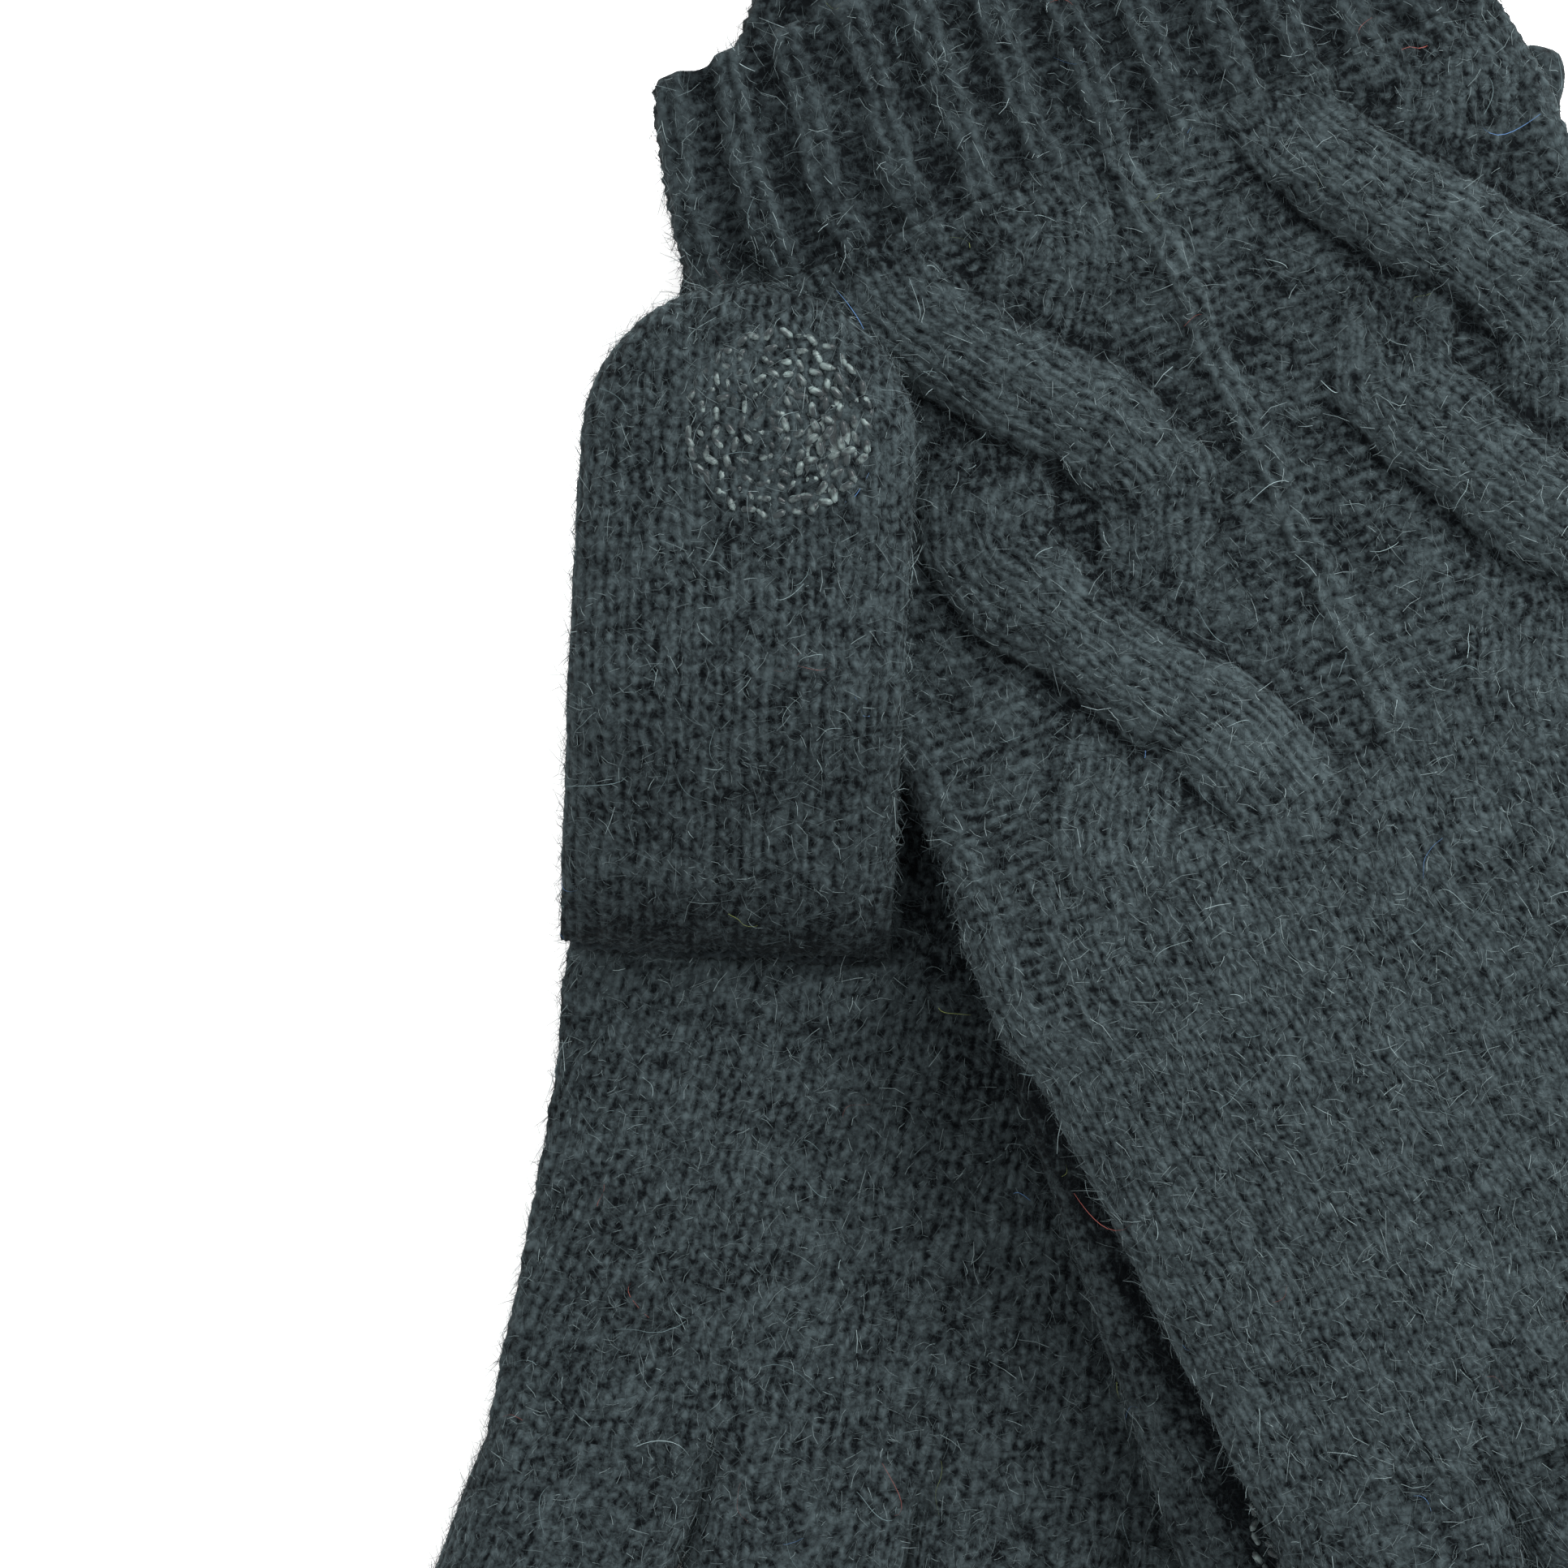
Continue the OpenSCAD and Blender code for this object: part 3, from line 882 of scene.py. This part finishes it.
def digit_piece(name, side, place, rotation, shape, height_at, step, wale_width, fold=False):
    """A knitted finger or thumb, and its fuzz."""
    width, thick, long = shape
    angles, length, whole = section(width / 2, thick / 2, step, COARSE)
    start = 0.0 if fold else -3.0
    root_square = root_squareness(name, angles)
    grid, share = digit_surface(width, thick, long, step, height_at, angles, start, root_square)
    face = curve(np.sin(angles))[None, :] + np.zeros(grid.shape[:2])
    run = whole / 2
    around = np.where(length < run, run / 2 - length, length - 1.5 * run)[None, :]
    pattern = around * np.maximum(share, 0.35)[:, None]
    along = grid[..., 1]
    outward = np.clip(grid[..., 0] / (width / 2), 0, 1)
    grid[..., 0] -= OUTER_TRIM.get(name, 0) * outward**2
    if fold:
        closed = np.sqrt(np.clip(1 - np.clip(1 - along / FOLD_LEN, 0, 1) ** 2, 0.01, 1))
        low = height_at(along) - thick / 2
        grid[..., 2] = low + (grid[..., 2] - low) * closed
    grid[..., 2] += 0.35 * soft_noise(pattern / 8 + seed_of(name), along / 9, 5) * face
    normals = surface_normals(grid)
    wale = pattern / wale_width + 0.5 + slack(pattern, along, DIGIT_WALES)
    course = along / COURSE + slack(pattern, along, DIGIT_COURSES)
    up = smooth((face + 0.6) / 0.8)
    rough = slack(pattern, along, DIGIT_ROUGH) + slack(pattern, along, DIGIT_SWELL) * up
    if not fold:
        rough = rough - 0.45 * (1 - smooth((along + 3) / 4.5))
    high = (0.15 + 1.15 * STITCH_DEPTH * plain_stitches(wale, course)) * up - 0.5 * (1 - up)
    side_share = 1 - 0.5 * smooth(np.abs(np.cos(angles)) ** 4)[None, :]
    near_tip = np.minimum(share * 2.5, 1)[:, None]
    grid = grid + normals * ((high + rough) * side_share * near_tip)[..., None]
    placed = grid @ rotation.T + place
    table = to_table(placed, side)
    # painted shade in the pits and paler crests of the stitches
    depth = painted_pit_shade(high, step)
    # painted shadow of the left hand's edge on its thumb
    if name == "left_thumb":
        depth = depth * smooth((beside_left_hand(table) - 1) / THUMB_SHADE)
    # painted shade in the right thumb's fold
    if fold:
        depth = depth * (0.35 + 0.65 * smooth(along / 7))
    faces = grid_faces(*grid.shape[:2])
    knit = np.stack([wale, course], -1).reshape(-1, 2)
    made = make_mesh(name + "_knit", table.reshape(-1, 3), faces, knit, [WOOL], depth=depth.ravel())
    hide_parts(name)
    root_mid = float(height_at(np.zeros(1))[0])
    start = to_table(np.array([0, BEND_ZONE[0], root_mid]) @ rotation.T + place, side)
    end = to_table(np.array([0, BEND_ZONE[1], root_mid]) @ rotation.T + place, side)
    blend = (side + "_glove", name, tuple(start), tuple(end))
    settle(made, name, blend)
    thin = FUZZ_DENSITY * near_middle(table) * np.where(face > -0.4, 1.0, 0.15)
    own_normals = turned(normals @ rotation.T, side)
    grain = turned(along_wales(grid, wale) @ rotation.T, side)
    fuzz_piece(name + "_fuzz", table, own_normals, grain, depth, thin, name, blend)


def finger_place(side, name):
    """Where a finger leaves its hand, and the matrix that leans it."""
    across = ACROSS[name] + (LEFT_BEND if side == "left" else 0)
    return np.array([across, ROOTS_AT + ROOT_GAP, 0.0]), lean(SPLAY[side][name])


def finger_height(side, name):
    """Mid height of a finger. The left ones slope down to the table."""
    low = FINGER_THICK / 2
    high = low if side == "right" else STACK_Z + HAND_THICK / 2 + HAND_LIFT
    level = INDEX_LEVEL if name == "index" else 0.0
    return slope_down(high, low, FINGER_LEN[name], level)


def fingers(side):
    """The four fingers of one glove."""
    for name in FINGERS:
        place, rotation = finger_place(side, name)
        shape = (FINGER_WIDTH[name], FINGER_THICK, FINGER_LEN[name])
        height_at = finger_height(side, name)
        digit_piece(side + "_" + name, side, place, rotation, shape, height_at, PLAIN, WALE)


def thumb_height(side):
    """Mid height of a thumb. The right one climbs from its palm on to the left cuff."""
    if side == "left":
        return lambda y: LEFT_THUMB_MID + 0 * y
    low = HAND_THICK + 0.5 + THUMB_THICK / 2
    return lambda y: low + STACK_Z * smooth(y / THUMB_LEN / 0.45)


def thumbs():
    """The turned-back right thumb and the tucked left one."""
    shape = (THUMB_WIDTH, THUMB_THICK, THUMB_LEN)
    for side, step in (("right", FINE), ("left", PLAIN)):
        place, rotation = thumb_frame(side)
        height_at = thumb_height(side)
        folded = side == "right"
        digit_piece(side + "_thumb", side, place, rotation, shape, height_at, step, THUMB_WALE, folded)


# ---- touch caps: rings of conductive stitches ----
def stitch_shape(half_long, radius, sides=8, rings=7):
    """Points and quads of one rounded stitch along x."""
    t = np.linspace(-1, 1, rings)
    r = radius * np.sqrt(np.clip(1 - t**4, 0.03, 1))
    a = np.arange(sides) * 2 * np.pi / sides
    x = np.repeat(half_long * t, sides)
    y = (r[:, None] * np.cos(a)).ravel()
    z = (r[:, None] * np.sin(a)).ravel()
    return np.stack([x, y, z], axis=1), grid_faces(rings, sides)


def cap_surface(x, y, shape, height_at):
    """Height of a digit's top surface at a point of its own frame."""
    width, thick, long = shape
    half = width / 2
    past = np.maximum(y - (long - half), 0)
    off = np.hypot(x, past) / half
    return height_at(y) + thick / 2 * np.clip(1 - off**SQUARENESS, 0, 1) ** (1 / SQUARENESS)


def touch_cap(name, side, place, rotation, centre, radius, shape, height_at):
    """Concentric rings of conductive stitches that close the end of a knitted tube."""
    rng = np.random.default_rng(seed_of(name))
    stitch, quads = stitch_shape(CAP_STITCH_HALF, CAP_STITCH_RADIUS)
    points = []
    faces = []
    used = 0
    for ring in range(int((radius - 0.4) / CAP_RING)):
        r = 0.75 + CAP_RING * ring
        count = max(int(2 * np.pi * r / CAP_STITCH), 4)
        for k in range(count):
            a = 2 * np.pi * (k + 0.5 * (ring % 2)) / count + rng.normal(0, 0.03)
            tilt = 25 * (-1) ** k + rng.normal(0, 12)
            x = centre[0] + r * math.cos(a) + rng.normal(0, 0.1)
            y = centre[1] + r * math.sin(a) + rng.normal(0, 0.1)
            placed = stitch @ turn(math.degrees(a) + 90 + tilt).T
            z = cap_surface(x, y, shape, height_at) + CAP_RISE + rng.normal(0, 0.1)
            placed += np.array([x, y, z])
            faces.append(quads + used)
            points.append(placed)
            used += len(placed)
    # the felt under the stitches
    sides, rings = 64, 12
    a = np.arange(sides) * 2 * np.pi / sides
    r = np.linspace(0.02, radius, rings)[:, None]
    x = centre[0] + r * np.cos(a)
    y = centre[1] + r * np.sin(a)
    z = cap_surface(x, y, shape, height_at) + CAP_RISE - 0.1 - 0.6 * (r / radius) ** 8
    faces.append(grid_faces(rings, sides)[:, ::-1] + used)
    points.append(np.stack([x, y, z], axis=-1).reshape(-1, 3))
    points = np.concatenate(points)
    table = to_table(points @ rotation.T + place, side)
    made = make_mesh(name + "_yarn", table, np.concatenate(faces), points[:, :2], [SILVER])
    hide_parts(name)
    settle(made, side + ("_thumb" if "thumb" in name else "_index"))


def caps():
    """The touch caps of both thumbs and both index fingers."""
    shape = (THUMB_WIDTH, THUMB_THICK, THUMB_LEN)
    for side, off in THUMB_CAP_OFF.items():
        place, rotation = thumb_frame(side)
        centre = (off, THUMB_LEN - CAP_FROM_TIP)
        touch_cap(side + "_thumb_cap", side, place, rotation, centre, CAP_RADIUS, shape, thumb_height(side))
    shape = (FINGER_WIDTH["index"], FINGER_THICK, FINGER_LEN["index"])
    for side, back in INDEX_CAP_BACK.items():
        place, rotation = finger_place(side, "index")
        centre = (0.0, FINGER_LEN["index"] - back)
        height_at = finger_height(side, "index")
        touch_cap(side + "_index_cap", side, place, rotation, centre, INDEX_CAP_RADIUS, shape, height_at)


# ---- thumb seams: a twisted line of thread ----
def seam(side, z, v, angle):
    """A line of twisted thread across the base of a thumb, in the glove's frame."""
    name = side + "_thumb_seam"
    half = THUMB_WIDTH / 2 - 1
    t = np.linspace(-half, half, 150)[:, None]
    a = (np.arange(14) * 2 * np.pi / 14)[None, :]
    swell = SEAM_RADIUS + 0.16 * np.sin(2 * np.pi * t / SEAM_TWIST)
    swell = swell * np.sqrt(np.clip(1 - (t / (half + 0.1)) ** 8, 0.02, 1))
    across = swell * np.cos(a) + 0.2 * np.sin(t / 2.1)
    droop = 0.9 * (np.abs(t) / half) ** 4
    points = np.stack([t + 0 * across, across, z + swell * np.sin(a) - droop], axis=-1)
    points = points @ turn(angle).T + np.array([THUMB_U[side], v, 0.0])
    knit = np.stack([t / SEAM_TWIST + 0 * a, a / 3 + 0 * t], axis=-1)
    faces = grid_faces(*points.shape[:2])[:, ::-1]
    depth = 0.5 + 0 * points[..., 0].ravel()
    table = to_table(points, side).reshape(-1, 3)
    made = make_mesh(name + "_thread", table, faces, knit.reshape(-1, 2), [SEAM_WOOL], depth=depth)
    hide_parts(name)
    settle(made, side + "_glove")


# ---- the whole pair ----
hand_piece("right_rib_edge_knit", "right", 0.0, RIB_LEN, PLAIN, RIB_WOOL, 3.0, True)
hand_piece("right_wrist_knit", "right", RIB_LEN, CABLE_END, PLAIN, WOOL, 3.0)
hand_piece("right_hand_knit", "right", CABLE_END, ROOTS_AT, FINE, WOOL, FUZZ_DENSITY)
hand_piece("left_rib_edge_knit", "left", 0.0, RIB_LEN, FINE, RIB_WOOL, FUZZ_DENSITY, True)
hand_piece("left_wrist_knit", "left", RIB_LEN, CABLE_END, FINE, WOOL, FUZZ_DENSITY)
hand_piece("left_hand_knit", "left", CABLE_END, ROOTS_AT, FINE, WOOL, FUZZ_DENSITY)
fingers("right")
fingers("left")
thumbs()
caps()
seam("right", HAND_THICK + 0.5, THUMB_START["right"] + 0.5, THUMB_TURN - 180)
seam("left", LEFT_THUMB_MID, THUMB_AT - 1.2, 0)


# ---- room, light and camera ----
MIDDLE = (PAIR_SHIFT[0] / 1000, PAIR_SHIFT[1] / 1000, 0.02)
CAMERA_HEIGHT = 0.8
FRAME_WIDTH = 0.1449  # metres across the picture, at the height of MIDDLE
KEY_PLACE = (MIDDLE[0] + 0.55, MIDDLE[1] + 0.65, 0.75)
KEY_SIZE = 0.45
KEY_POWER = 33
SKY_STRENGTH = 2.3


def floor():
    """The white ground."""
    bpy.ops.mesh.primitive_plane_add(size=6, location=(MIDDLE[0], MIDDLE[1], 0))
    made = bpy.context.object
    made.name = "floor"
    material, _tree, shader = new_material("floor_white", 0.9, 0.0)
    shader.inputs["Base Color"].default_value = (0.93, 0.93, 0.93, 1)
    made.data.materials.append(material)


def area_light(name, place, size, power, aim):
    """A square light turned to the point it aims at."""
    light = bpy.data.lights.new(name, "AREA")
    light.size = size
    light.energy = power
    made = bpy.data.objects.new(name, light)
    bpy.context.scene.collection.objects.link(made)
    made.location = place
    direction = Vector(aim) - Vector(place)
    made.rotation_euler = direction.to_track_quat("-Z", "Y").to_euler()


def world_light(strength):
    """Even white light from all round."""
    world = bpy.data.worlds.new("studio")
    bpy.context.scene.world = world
    world.use_nodes = True
    sky = world.node_tree.nodes["Background"]
    sky.inputs["Color"].default_value = (1, 1, 1, 1)
    sky.inputs["Strength"].default_value = strength


def camera():
    """A camera that looks straight down, like the photo's."""
    data = bpy.data.cameras.new("camera")
    data.sensor_width = 36
    data.lens = 36 * (CAMERA_HEIGHT - MIDDLE[2]) / FRAME_WIDTH
    made = bpy.data.objects.new("camera", data)
    bpy.context.scene.collection.objects.link(made)
    made.location = (MIDDLE[0], MIDDLE[1], CAMERA_HEIGHT)
    bpy.context.scene.camera = made


floor()
area_light("key", KEY_PLACE, KEY_SIZE, KEY_POWER, MIDDLE)
world_light(SKY_STRENGTH)
camera()
bpy.context.scene.view_settings.view_transform = "Standard"
